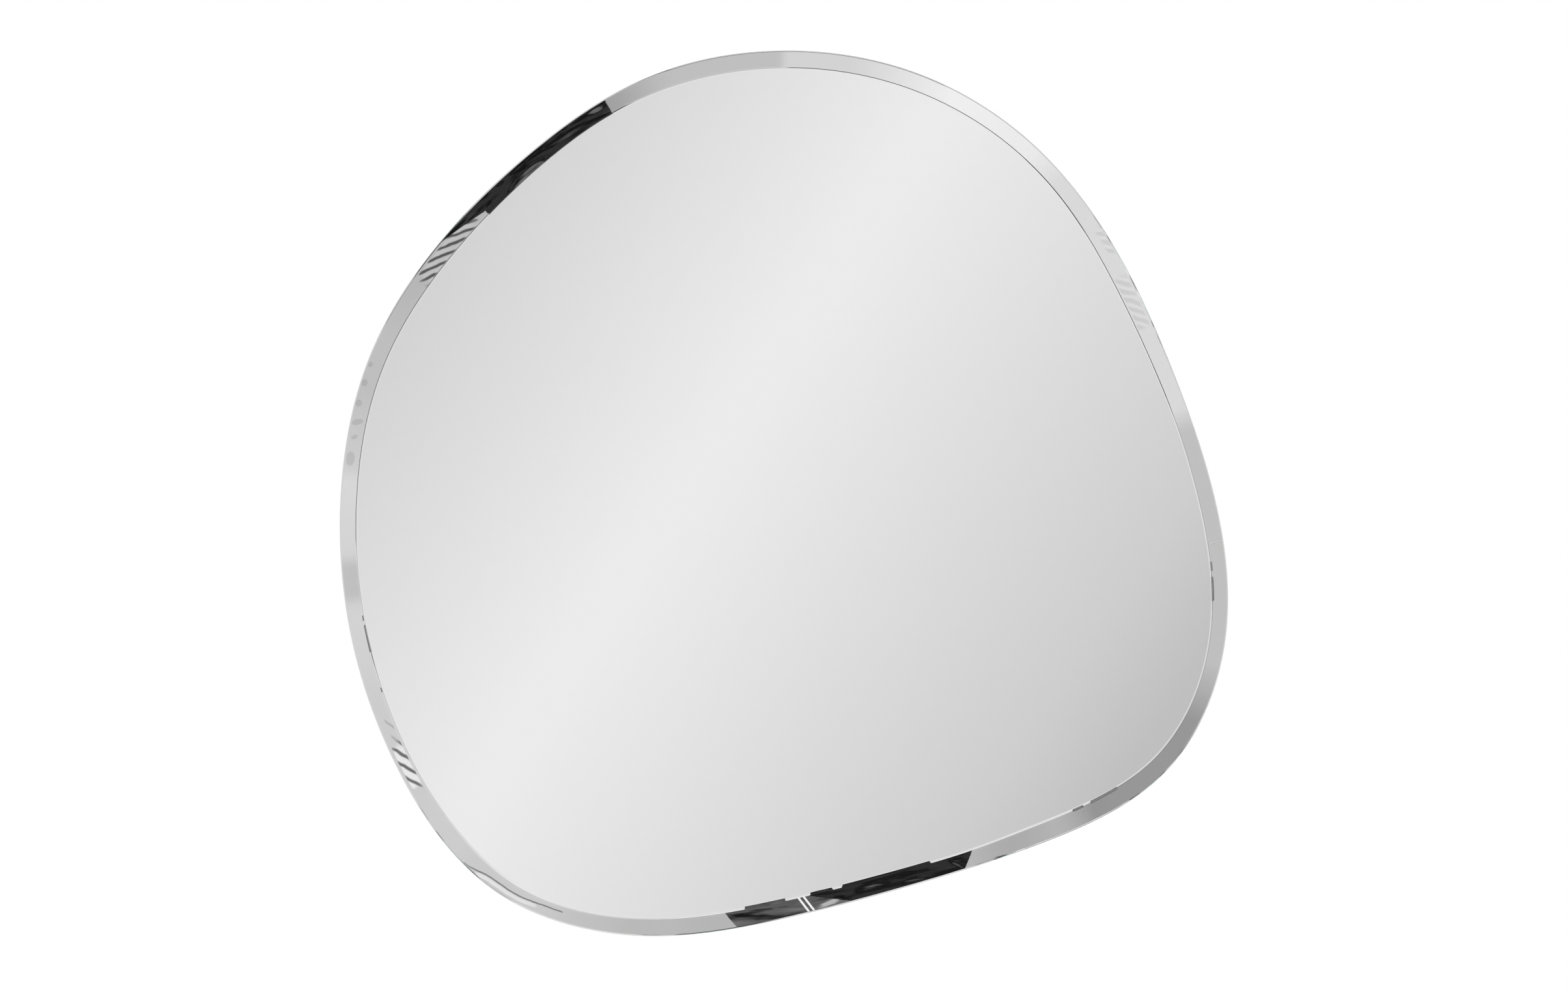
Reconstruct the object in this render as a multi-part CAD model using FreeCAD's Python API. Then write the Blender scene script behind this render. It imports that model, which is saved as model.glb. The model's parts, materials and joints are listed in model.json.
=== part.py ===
import FreeCAD, Part
import math
import os

# A frameless wall mirror with a free-form outline, a bevelled edge and a backing board.
# Millimetres. +Z is up, the mirror faces -Y, and it hangs on a wall at y = 0.
# The origin lies on the wall, behind the middle of the outline.
# Left and right are as seen from the front.

# ---- Outline of the glass ----
mirror_width = 914.4
mirror_height = 911.0
# Its shape: distance from the middle to the edge, in even steps of angle, anticlockwise from
# the right. The curve through them is then fitted to the width and height above.
edge_radii = [
    442, 419, 423, 440, 452,
    454, 449, 436, 437, 448,
    455, 468, 488, 505, 478,
    437, 424, 446, 486, 478,
]
points_per_radius = 5       # points of an inset outline for each radius above

# ---- Glass ----
glass_thickness = 5.0
bevel_width = 18.0          # sloped border round the front
edge_land = 2.0             # upright part of the edge, behind the bevel
arris_width = 0.8           # narrow polished flat between the land and the bevel
arris_height = 0.5
back_arris = 0.4

# ---- Coatings on the back of the glass ----
silver_thickness = 0.10
paint_thickness = 0.15
coating_inset = 0.6         # from the edge of the glass

# ---- Backing board ----
board_thickness = 9.0
board_inset = 42.0          # from the edge of the glass
board_chamfer = 1.0         # round the side that faces the wall
wall_gap = 8.0              # from the board to the wall

# ---- Foam tape and adhesive between the glass and the board ----
bond_thickness = 1.5
tape_width = 19.0
tape_strips = 4
tape_pitch = 200.0
tape_end_gap = 16.0         # from the edge of the board
dab_diameter = 38.0
dab_bulge = 0.6             # how far the squeezed rim stands out
dab_rows = 5
dab_end_gap = 10.0

# ---- Bumper pads, in the corners of the board ----
bumper_angles = {          # anticlockwise from the right
    "bumper_upper_right": 45,
    "bumper_upper_left": 135,
    "bumper_lower_left": 225,
    "bumper_lower_right": 315,
}
bumper_base_diameter = 22.0
bumper_face_diameter = 17.0
bumper_rounding = 0.8
bumper_edge_gap = 14.0      # from the edge of the board
glue_diameter = 19.0
glue_thickness = 0.4

# ---- Hangers: a ring held by a folded steel strap ----
hanger_spacing = 440.0      # between the two rings
hanger_height = 215.0       # of the ring pivots above the middle of the mirror
strap_width = 20.0
strap_thickness = 1.2       # of each of its two layers
strap_length = 44.0         # below the ring pivot
strap_corner = 5.0
strap_gap = 0.1             # left between the two folded layers
strap_slant = 50.0          # degrees, where the outer layer comes down to the inner one
strap_bend = 1.8            # radius at the foot of the slant
ring_wire = 3.5
ring_play = 0.09            # round the wire, in the fold
ring_width = 30.0           # between the middles of the two legs
ring_leg = 6.0              # from the pivot to where the round top starts
ring_corner = 4.0

# ---- Screws ----
screw_drops = [13.0, 33.0]  # below the ring pivot
screw_diameter = 4.0
screw_core = 2.8
screw_length = 10.5         # under the head
screw_tip = 3.0
screw_pitch = 1.4
screw_head_diameter = 8.0
screw_head_height = 2.6
screw_head_rim = 0.9        # upright part of the head's side
screw_flat = 3.6            # diameter of the flat on top of the head
recess_length = 4.4
recess_width = 0.9
recess_depth = 1.5
screw_play = 0.1            # round the screw, in the strap and in the board

# ---- Depths, counted from the wall towards the room ----
board_back = -wall_gap
board_front = board_back - board_thickness
paint_back = board_front - bond_thickness
silver_back = paint_back - paint_thickness
glass_back = silver_back - silver_thickness
glass_front = glass_back - glass_thickness

OUT = FreeCAD.Vector(0, 1, 0)       # from the mirror to the wall
MIDDLE = FreeCAD.Vector(0, 0, 0)


# ---- Outlines ----

def glass_edge():
    """The edge of the glass: one smooth closed curve in the plane y = 0."""
    step = 2 * math.pi / len(edge_radii)
    points = []
    for number, radius in enumerate(edge_radii):
        angle = number * step
        points.append(FreeCAD.Vector(radius * math.cos(angle), 0, radius * math.sin(angle)))
    drawn = closed_curve(points).toShape().optimalBoundingBox()
    across = mirror_width / drawn.XLength
    up = mirror_height / drawn.ZLength
    fitted = []
    for point in points:
        from_middle = point - drawn.Center
        fitted.append(FreeCAD.Vector(from_middle.x * across, 0, from_middle.z * up))
    return closed_curve(fitted)


def closed_curve(points):
    curve = Part.BSplineCurve()
    steps = [float(number) for number in range(len(points) + 1)]
    curve.interpolate(Points=points, PeriodicFlag=True, Parameters=steps)
    return curve


EDGE = glass_edge()


def place_inside(step, inset):
    """Point at a step along the edge of the glass, moved inwards by the inset."""
    along = EDGE.tangent(step)[0]
    inwards = FreeCAD.Vector(-along.z, 0, along.x)
    return EDGE.value(step) + inwards * inset


def inset_points(inset):
    count = len(edge_radii) * points_per_radius
    return [place_inside(number / points_per_radius, inset) for number in range(count)]


def outline(inset, y):
    """Closed wire that runs inside the edge of the glass, at the depth y."""
    wire = Part.Wire(closed_curve(inset_points(inset)).toShape())
    wire.translate(OUT * y)
    return wire


def plate(sections):
    """Solid through outlines, each given as its inset and its depth."""
    return Part.makeLoft([outline(inset, y) for inset, y in sections], True, True)


def heights_inside(x, inset):
    """Lowest and highest point of an inset outline on the upright line at x."""
    points = inset_points(inset)
    found = []
    for first, second in zip(points, points[1:] + points[:1]):
        if (first.x - x) * (second.x - x) <= 0 and first.x != second.x:
            share = (x - first.x) / (second.x - first.x)
            found.append(first.z + share * (second.z - first.z))
    return min(found), max(found)


def span_inside(x, width, inset):
    """Lowest and highest level at which a strip of this width stays inside an outline."""
    left = heights_inside(x - width / 2, inset)
    right = heights_inside(x + width / 2, inset)
    return max(left[0], right[0]), min(left[1], right[1])


# ---- Round parts ----

def turned(profile, x, y, z):
    """Solid of revolution about Y. The profile holds (radius, height above y)."""
    corners = [FreeCAD.Vector(radius, height, 0) for radius, height in profile]
    face = Part.Face(Part.makePolygon(corners + corners[:1]))
    solid = face.revolve(MIDDLE, OUT, 360)
    solid.translate(FreeCAD.Vector(x, y, z))
    return solid


# ---- Glass and coatings ----

def bevelled_glass():
    bevel_back = glass_back - edge_land
    return plate([
        (back_arris, glass_back),
        (0, glass_back - back_arris),
        (0, bevel_back),
        (arris_width, bevel_back - arris_height),
        (bevel_width, glass_front),
    ])


def silver_coating():
    return plate([(coating_inset, silver_back), (coating_inset, glass_back)])


def protective_paint():
    return plate([(coating_inset, paint_back), (coating_inset, silver_back)])


# ---- Bond between the glass and the board ----

def tape_places():
    first = -tape_pitch * (tape_strips - 1) / 2
    return [first + number * tape_pitch for number in range(tape_strips)]


def foam_tape():
    strips = []
    for x in tape_places():
        low, high = span_inside(x, tape_width, board_inset + tape_end_gap)
        corner = FreeCAD.Vector(x - tape_width / 2, paint_back, low)
        strips.append(Part.makeBox(tape_width, bond_thickness, high - low, corner))
    return Part.makeCompound(strips)


def adhesive_dab(x, z):
    radius = dab_diameter / 2
    return turned([
        (0, 0),
        (radius - dab_bulge, 0),
        (radius, bond_thickness / 2),
        (radius - dab_bulge, bond_thickness),
        (0, bond_thickness),
    ], x, paint_back, z)


def adhesive_dabs():
    dabs = []
    for x in tape_places()[:-1]:
        middle = x + tape_pitch / 2
        low, high = span_inside(middle, dab_diameter, board_inset + dab_end_gap + dab_diameter / 2)
        for row in range(dab_rows):
            dabs.append(adhesive_dab(middle, low + (high - low) * row / (dab_rows - 1)))
    return Part.makeCompound(dabs)


# ---- Backing board ----

def screw_places(side):
    x = side * hanger_spacing / 2
    return [(x, hanger_height - drop) for drop in screw_drops]


def backing_board():
    board = plate([
        (board_inset + board_chamfer, board_back),
        (board_inset, board_back - board_chamfer),
        (board_inset, board_front),
    ])
    depth = screw_length - 2 * strap_thickness - strap_gap + screw_play
    for side in (-1, 1):
        for x, z in screw_places(side):
            start = FreeCAD.Vector(x, board_back, z)
            radius = screw_diameter / 2 + screw_play
            board = board.cut(Part.makeCylinder(radius, depth, start, OUT * -1))
    return board


# ---- Bumper pads ----

def bumper_place(angle):
    step = angle / 360 * len(edge_radii)
    inset = board_inset + bumper_edge_gap + bumper_base_diameter / 2
    return place_inside(step, inset)


def bumper(angle):
    place = bumper_place(angle)
    height = wall_gap - glue_thickness
    pad = Part.makeCone(
        bumper_base_diameter / 2,
        bumper_face_diameter / 2,
        height,
        FreeCAD.Vector(place.x, board_back + glue_thickness, place.z),
        OUT,
    )
    rim = max(pad.Edges, key=lambda edge: edge.BoundBox.YMin)
    return pad.makeFillet(bumper_rounding, [rim])


def bumper_glue_discs():
    discs = []
    for angle in bumper_angles.values():
        place = bumper_place(angle)
        start = FreeCAD.Vector(place.x, board_back, place.z)
        discs.append(Part.makeCylinder(glue_diameter / 2, glue_thickness, start, OUT))
    return Part.makeCompound(discs)


# ---- Hangers ----

fold_radius = ring_wire / 2 + ring_play + strap_thickness / 2   # middle of the metal, round the ring
pivot_height = fold_radius + strap_thickness / 2                # above the board


def fold_path():
    """Middle line of the strap's metal, as (height above the board, height above the pivot)."""
    slant = math.radians(strap_slant)
    inner = strap_thickness / 2
    outer = inner + strap_thickness + strap_gap
    leave = (pivot_height + fold_radius * math.cos(slant), -fold_radius * math.sin(slant))
    drop = leave[0] - strap_bend * (1 - math.cos(slant)) - outer
    run = drop / math.sin(slant)
    land = (leave[0] - drop, leave[1] - run * math.cos(slant))
    flat = (outer, land[1] - strap_bend * math.sin(slant))
    half = slant / 2
    bend_middle = (
        outer + strap_bend * (1 - math.cos(half)),
        flat[1] + strap_bend * math.sin(half),
    )
    return [
        ("line", (inner, -strap_length), (inner, 0)),
        ("arc", (inner, 0), (pivot_height, fold_radius), (pivot_height + fold_radius, 0)),
        ("arc", (pivot_height + fold_radius, 0), half_way(slant), leave),
        ("line", leave, land),
        ("arc", land, bend_middle, flat),
        ("line", flat, (outer, -strap_length)),
    ]


def half_way(slant):
    half = slant / 2
    return (pivot_height + fold_radius * math.cos(half), -fold_radius * math.sin(half))


def hanger_strap(side):
    x = side * hanger_spacing / 2
    left = x - strap_width / 2
    edges = []
    for kind, *places in fold_path():
        points = [FreeCAD.Vector(left, board_back + out, hanger_height + up) for out, up in places]
        edges.append((Part.LineSegment if kind == "line" else Part.Arc)(*points).toShape())
    start = FreeCAD.Vector(left, board_back, hanger_height - strap_length)
    section = Part.makePolygon([
        start,
        start + FreeCAD.Vector(strap_width, 0, 0),
        start + FreeCAD.Vector(strap_width, strap_thickness, 0),
        start + FreeCAD.Vector(0, strap_thickness, 0),
        start,
    ])
    strap = Part.Wire(edges).makePipeShell([section], True, False)
    top = pivot_height + fold_radius + strap_thickness
    blank = Part.makeBox(strap_width, top, strap_length + top, start)
    corners = [edge for edge in blank.Edges if edge.BoundBox.ZMax < hanger_height - strap_length / 2]
    corners = [edge for edge in corners if edge.BoundBox.YLength > top / 2]
    strap = strap.common(blank.makeFillet(strap_corner, corners))
    for screw_x, screw_z in screw_places(side):
        radius = screw_diameter / 2 + screw_play
        hole_start = FreeCAD.Vector(screw_x, board_back, screw_z)
        strap = strap.cut(Part.makeCylinder(radius, top, hole_start, OUT))
    return strap


def ring_path(side):
    """Middle line of the ring's wire: a straight bar, two corners, two legs and a round top."""
    pivot = FreeCAD.Vector(side * hanger_spacing / 2, board_back + pivot_height, hanger_height)
    half = ring_width / 2
    bar = half - ring_corner
    cut = ring_corner * (1 - math.sqrt(0.5))

    def at(x, z):
        return pivot + FreeCAD.Vector(x, 0, z)

    return [
        Part.LineSegment(at(-bar, 0), at(bar, 0)),
        Part.Arc(at(bar, 0), at(half - cut, cut), at(half, ring_corner)),
        Part.LineSegment(at(half, ring_corner), at(half, ring_leg)),
        Part.Arc(at(half, ring_leg), at(0, ring_leg + half), at(-half, ring_leg)),
        Part.LineSegment(at(-half, ring_leg), at(-half, ring_corner)),
        Part.Arc(at(-half, ring_corner), at(cut - half, cut), at(-bar, 0)),
    ]


def hanger_ring(side):
    path = Part.Wire([piece.toShape() for piece in ring_path(side)])
    start = path.Edges[0].valueAt(path.Edges[0].FirstParameter)
    circle = Part.Circle(start, FreeCAD.Vector(1, 0, 0), ring_wire / 2)
    return path.makePipeShell([Part.Wire(circle.toShape())], True, False)


# ---- Screws ----

def screw(x, z):
    head = 2 * strap_thickness + strap_gap
    top = head + screw_head_height
    tip = head - screw_length
    core = screw_core / 2
    crest = screw_diameter / 2
    profile = [
        (0, top),
        (screw_flat / 2, top),
        ((screw_flat + screw_head_diameter) / 4, top - (screw_head_height - screw_head_rim) / 3),
        (screw_head_diameter / 2, head + screw_head_rim),
        (screw_head_diameter / 2, head),
        (core, head),
    ]
    turns = int((screw_length - screw_tip) / screw_pitch)
    for turn in range(turns):
        level = head - turn * screw_pitch
        profile.append((core, level - screw_pitch / 3))
        profile.append((crest, level - screw_pitch / 2))
        profile.append((core, level - screw_pitch * 2 / 3))
    profile.append((core, tip + screw_tip))
    profile.append((0, tip))
    body = turned(profile, x, board_back, z)
    for length, width in ((recess_length, recess_width), (recess_width, recess_length)):
        corner = FreeCAD.Vector(x - length / 2, board_back + top - recess_depth, z - width / 2)
        body = body.cut(Part.makeBox(length, recess_depth, width, corner))
    return body


def hanger_screws(side):
    return Part.makeCompound([screw(x, z) for x, z in screw_places(side)])


# ---- All the parts ----

def all_parts():
    parts = {
        "bevelled_glass": bevelled_glass(),
        "silver_coating": silver_coating(),
        "protective_paint": protective_paint(),
        "foam_tape": foam_tape(),
        "adhesive_dabs": adhesive_dabs(),
        "backing_board": backing_board(),
        "bumper_glue_discs": bumper_glue_discs(),
    }
    for name, angle in bumper_angles.items():
        parts[name] = bumper(angle)
    for name, side in (("left", -1), ("right", 1)):
        parts[name + "_hanger_strap"] = hanger_strap(side)
        parts[name + "_hanger_ring"] = hanger_ring(side)
        parts[name + "_hanger_screws"] = hanger_screws(side)
    return parts


os.makedirs("parts", exist_ok=True)
for part_name, shape in all_parts().items():
    shape.exportStep("parts/" + part_name + ".step")
    print(part_name, len(shape.Solids), "solids", round(shape.Volume / 1000, 2), "cm3")
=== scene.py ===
import json
import math

import bmesh
import bpy
import numpy as np
from bpy.props import FloatProperty, FloatVectorProperty, IntProperty, PointerProperty
from mathutils import Matrix, Vector

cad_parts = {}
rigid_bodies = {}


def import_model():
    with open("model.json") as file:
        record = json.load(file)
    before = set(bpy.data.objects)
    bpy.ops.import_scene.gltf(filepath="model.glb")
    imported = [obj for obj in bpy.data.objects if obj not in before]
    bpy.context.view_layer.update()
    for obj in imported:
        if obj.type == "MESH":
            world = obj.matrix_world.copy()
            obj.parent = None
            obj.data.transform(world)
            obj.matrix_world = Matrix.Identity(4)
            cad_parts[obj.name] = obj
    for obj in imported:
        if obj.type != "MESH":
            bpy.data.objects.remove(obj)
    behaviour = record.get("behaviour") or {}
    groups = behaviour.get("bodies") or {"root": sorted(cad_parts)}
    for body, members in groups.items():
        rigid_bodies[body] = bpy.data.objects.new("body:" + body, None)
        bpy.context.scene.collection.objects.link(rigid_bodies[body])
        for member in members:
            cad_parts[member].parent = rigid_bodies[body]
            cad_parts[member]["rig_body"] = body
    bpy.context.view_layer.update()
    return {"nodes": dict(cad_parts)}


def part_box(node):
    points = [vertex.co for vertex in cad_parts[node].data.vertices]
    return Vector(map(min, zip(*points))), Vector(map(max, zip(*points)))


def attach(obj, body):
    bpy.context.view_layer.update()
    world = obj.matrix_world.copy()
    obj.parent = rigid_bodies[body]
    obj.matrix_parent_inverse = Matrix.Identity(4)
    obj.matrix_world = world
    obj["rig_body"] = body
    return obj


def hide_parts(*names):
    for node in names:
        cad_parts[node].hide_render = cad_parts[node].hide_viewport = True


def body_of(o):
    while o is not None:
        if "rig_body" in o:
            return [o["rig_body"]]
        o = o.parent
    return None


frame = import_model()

# A frameless wall mirror with a free-form outline and a bevelled edge.
# Metres. +Z is up and the mirror faces -Y. The wall that it hangs on is at y = 0.

bl_info = {
    "name": "Free-form Wall Mirror",
    "version": (1, 0, 0),
    "blender": (4, 5, 0),
    "location": "3D View > Sidebar > Wall Mirror",
    "description": "Builds a frameless wall mirror with a free-form outline and a bevelled edge",
    "category": "Object",
}

# The outline's shape: distance from the middle to the edge, in even steps of angle,
# anticlockwise from the right. It is fitted to the glass's real width and height.
EDGE_RADII = (
    442, 419, 423, 440, 452,
    454, 449, 436, 437, 448,
    455, 468, 488, 505, 478,
    437, 424, 446, 486, 478,
)

GLASS_LOW, GLASS_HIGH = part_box("bevelled_glass")
PAINT_LOW, PAINT_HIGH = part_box("protective_paint")
SILVER_LOW, SILVER_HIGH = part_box("silver_coating")
BOARD_LOW, BOARD_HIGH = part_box("backing_board")


# ---------------------------------------------------------------- settings

def length(name, description, default):
    return FloatProperty(name=name, description=description, default=default, min=0, unit="LENGTH")


def share(name, description, default):
    return FloatProperty(name=name, description=description, default=default, min=0, max=1, subtype="FACTOR")


def colour(name, description, default):
    return FloatVectorProperty(name=name, description=description, default=default, size=3,
                               min=0, max=1, subtype="COLOR")


class GlassSettings(bpy.types.PropertyGroup):
    bevel_width: length("Bevel Width", "Width of the sloped border", 0.018)
    edge_land: length("Edge Land", "Upright part of the edge behind the bevel", 0.0022)
    arris_width: length("Arris Width", "Narrow polished flat outside the bevel", 0.0012)
    arris_height: length("Arris Height", "How much the arris rises", 0.0003)
    back_arris: length("Back Arris", "Narrow flat round the back of the glass", 0.0004)
    ridge_width: length("Ridge Width", "Softened line between the bevel and the face", 0.002)
    face_border: length("Face Border", "Strip of the face that the grinding marks may reach", 0.003)
    unevenness: share("Unevenness", "How much of the bevel's uneven width shows", 1.0)
    steps: IntProperty(name="Steps", description="Faces round the edge", default=3600, min=60)
    tint: colour("Glass Tint", "Colour that the glass gives to light through it", (0.60, 0.95, 0.80))
    tint_density: FloatProperty(name="Tint Density", description="How strongly thick glass tints",
                                default=2.5, min=0)


class CoatingSettings(bpy.types.PropertyGroup):
    inset: length("Inset", "Bare border round the coatings", 0.0006)
    air: length("Gap", "Between the glass and the silver", 0.00003)
    silver: colour("Silver", "Colour of the reflecting layer", (0.945, 0.94, 0.94))
    paint: colour("Back Paint", "Colour of the lacquer on the back", (0.27, 0.285, 0.30))


class BoardSettings(bpy.types.PropertyGroup):
    inset: length("Inset", "From the edge of the glass", 0.042)
    chamfer: length("Chamfer", "Broken edge round the back", 0.001)
    face: colour("Board", "Colour of the board's faces", (0.47, 0.335, 0.215))
    fibre: colour("Fibres", "Colour of its darker fibres", (0.30, 0.195, 0.115))


class HardwareSettings(bpy.types.PropertyGroup):
    steel: colour("Steel", "Colour of the plated steel", (0.53, 0.54, 0.56))
    rubber: colour("Rubber", "Colour of the bumper pads", (0.022, 0.022, 0.024))
    rounding: length("Edge Rounding", "Broken edges of the steel parts", 0.00015)
    pad_taper: length("Pad Taper", "How much a pad's radius shrinks towards the wall", 0.0025)
    pad_rim: length("Pad Rim", "Rounding of a pad's rim", 0.0012)
    pad_foot: length("Pad Foot", "Broken edge round a pad's foot", 0.0003)
    pad_steps: IntProperty(name="Pad Steps", description="Faces round a pad", default=96, min=12)


class StudioSettings(bpy.types.PropertyGroup):
    picture_width: length("Picture Width", "Width that the picture takes in, at the mirror", 1.6138)
    lens: FloatProperty(name="Lens", description="Focal length in millimetres", default=300, min=20)
    aim_across: FloatProperty(name="Aim Across", description="Where the camera aims", default=0.0)
    aim_up: FloatProperty(name="Aim Up", description="Where the camera aims", default=-0.0002)
    floor_drop: length("Floor Drop", "From the middle of the mirror to the floor", 1.0)
    floor_radius: length("Floor Radius", "Size of the floor", 1.35)
    ambient: FloatProperty(name="Ambient", description="Plain light from all round", default=0.78, min=0)
    key_power: FloatProperty(name="Key Light", description="Power in watts", default=90, min=0)
    fill_power: FloatProperty(name="Fill Light", description="Power in watts", default=60, min=0)


SETTINGS = {
    "mirror_glass": GlassSettings,
    "mirror_coatings": CoatingSettings,
    "mirror_board": BoardSettings,
    "mirror_hardware": HardwareSettings,
    "mirror_studio": StudioSettings,
}


# ---------------------------------------------------------------- node helpers

def fill(tree, node, inputs):
    """Links or sets a node's inputs, by name or number."""
    for key, value in inputs.items():
        if isinstance(value, bpy.types.NodeSocket):
            tree.links.new(value, node.inputs[key])
        else:
            node.inputs[key].default_value = value


def put(tree, kind, inputs=None, **settings):
    """Adds a node, sets its properties, then links or sets its inputs."""
    node = tree.nodes.new(kind)
    for name, value in settings.items():
        setattr(node, name, value)
    fill(tree, node, inputs or {})
    return node


def calc(tree, operation, *values):
    return put(tree, "ShaderNodeMath", dict(enumerate(values)), operation=operation).outputs[0]


def plus(tree, first, second):
    return calc(tree, "ADD", first, second)


def minus(tree, first, second):
    return calc(tree, "SUBTRACT", first, second)


def times(tree, first, second):
    return calc(tree, "MULTIPLY", first, second)


def times_plus(tree, value, factor, base):
    return calc(tree, "MULTIPLY_ADD", value, factor, base)


def vector_calc(tree, operation, *values):
    node = put(tree, "ShaderNodeVectorMath", dict(enumerate(values)), operation=operation)
    return node.outputs["Value" if operation == "LENGTH" else "Vector"]


def scaled(tree, vector, factor):
    inputs = {0: vector, "Scale": factor}
    return put(tree, "ShaderNodeVectorMath", inputs, operation="SCALE").outputs["Vector"]


def remap(tree, value, low, high, new_low=0.0, new_high=1.0, smooth=True):
    inputs = {"Value": value, "From Min": low, "From Max": high, "To Min": new_low, "To Max": new_high}
    kind = "SMOOTHSTEP" if smooth else "LINEAR"
    return put(tree, "ShaderNodeMapRange", inputs, interpolation_type=kind).outputs["Result"]


def split(tree, vector):
    return put(tree, "ShaderNodeSeparateXYZ", {"Vector": vector}).outputs


def own_place(tree):
    return put(tree, "ShaderNodeTexCoord").outputs["Object"]


def stored_vector(tree, name):
    return put(tree, "ShaderNodeAttribute", attribute_name=name).outputs["Vector"]


def as_colour(value):
    return value if isinstance(value, bpy.types.NodeSocket) else (*value, 1)


def mix_colours(tree, factor, first, second):
    inputs = {0: factor, 6: as_colour(first), 7: as_colour(second)}
    return put(tree, "ShaderNodeMix", inputs, data_type="RGBA").outputs[2]


def mix_values(tree, factor, first, second):
    return put(tree, "ShaderNodeMix", {0: factor, 2: first, 3: second}, data_type="FLOAT").outputs[0]


def noise(tree, vector, scale, detail=2.0, roughness=0.5, distortion=0.0):
    inputs = {"Vector": vector, "Scale": scale, "Detail": detail, "Roughness": roughness,
              "Distortion": distortion}
    return put(tree, "ShaderNodeTexNoise", inputs).outputs["Fac"]


def ramp(tree, value, stops, between="LINEAR"):
    """Brightness by value, from (value, brightness) stops between 0 and 1."""
    node = put(tree, "ShaderNodeValToRGB", {"Fac": value})
    node.color_ramp.interpolation = between
    elements = node.color_ramp.elements
    while len(elements) < len(stops):
        elements.new(0.5)
    for element, (place, level) in zip(elements, stops):
        element.position = place
        element.color = (level, level, level, 1)
    return node.outputs["Color"]


def window(tree, value, low, high, soft):
    """1 from low to high, falling to 0 over the soft distance outside."""
    rise = remap(tree, value, shifted(tree, low, -soft), low)
    fall = remap(tree, value, shifted(tree, high, soft), high)
    return times(tree, rise, fall)


def shifted(tree, value, shift):
    """A number or a socket, moved by a number."""
    return plus(tree, value, shift) if isinstance(value, bpy.types.NodeSocket) else value + shift


def combine(tree, x=0.0, y=0.0, z=0.0):
    return put(tree, "ShaderNodeCombineXYZ", {"X": x, "Y": y, "Z": z}).outputs["Vector"]


def sockets(tree, inputs, outputs):
    """Names a group's inputs and outputs. Returns what it is given and the node that takes what
    it makes."""
    for name, kind, default in inputs:
        socket = tree.interface.new_socket(name, in_out="INPUT", socket_type=kind)
        if default is not None:
            socket.default_value = default
    for name, kind in outputs:
        tree.interface.new_socket(name, in_out="OUTPUT", socket_type=kind)
    return tree.nodes.new("NodeGroupInput").outputs, tree.nodes.new("NodeGroupOutput")


# ---------------------------------------------------------------- shared shader groups

def grain_group():
    """Colour, roughness and normal of a dull surface: blotches, fine specks and a fine relief."""
    tree = bpy.data.node_groups.new("Fine Grain", "ShaderNodeTree")
    given, made = sockets(tree, [
        ("Color", "NodeSocketColor", None),
        ("Fleck Color", "NodeSocketColor", None),
        ("Fleck Share", "NodeSocketFloat", 0.3),
        ("Scale", "NodeSocketFloat", 400.0),
        ("Blotch", "NodeSocketFloat", 0.1),
        ("Roughness", "NodeSocketFloat", 0.5),
        ("Relief", "NodeSocketFloat", 0.1),
    ], [("Color", "NodeSocketColor"), ("Roughness", "NodeSocketFloat"), ("Normal", "NodeSocketVector")])
    place = own_place(tree)
    fine = noise(tree, place, given["Scale"], detail=6, roughness=0.65)
    broad = noise(tree, place, 7.0, detail=3)
    edge = minus(tree, 1.0, given["Fleck Share"])
    flecks = remap(tree, fine, times(tree, edge, 0.6), plus(tree, edge, 0.05))
    shade = times_plus(tree, minus(tree, broad, 0.5), given["Blotch"], 1.0)
    plain = scaled(tree, given["Color"], shade)
    mixed = mix_colours(tree, flecks, plain, given["Fleck Color"])
    rough = times_plus(tree, minus(tree, fine, 0.5), 0.25, given["Roughness"])
    bump = put(tree, "ShaderNodeBump", {"Strength": given["Relief"], "Distance": 0.0004,
                                        "Height": fine})
    fill(tree, made, {"Color": mixed, "Roughness": rough, "Normal": bump.outputs["Normal"]})
    return tree


def grained(tree, group, **values):
    """Outputs of a Fine Grain node with the given values, by input name with _ for a space."""
    node = put(tree, "ShaderNodeGroup", node_tree=group)
    for name, value in values.items():
        socket = node.inputs[name.replace("_", " ").title()]
        socket.default_value = (*value, 1) if isinstance(value, (tuple, list)) else value
    return node.outputs


# ---------------------------------------------------------------- materials

def new_material(name, settings=None):
    """A material with one Principled BSDF, whose constant inputs are set directly."""
    material = bpy.data.materials.new(name)
    material.use_nodes = True
    tree = material.node_tree
    tree.nodes.clear()
    surface = put(tree, "ShaderNodeBsdfPrincipled", settings)
    put(tree, "ShaderNodeOutputMaterial", {"Surface": surface.outputs["BSDF"]})
    return material, tree, surface


def grain_material(name, group, settings=None, **values):
    material, tree, surface = new_material(name, settings)
    grain = grained(tree, group, **values)
    fill(tree, surface, {"Base Color": grain["Color"], "Roughness": grain["Roughness"],
                         "Normal": grain["Normal"]})
    return material


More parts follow.
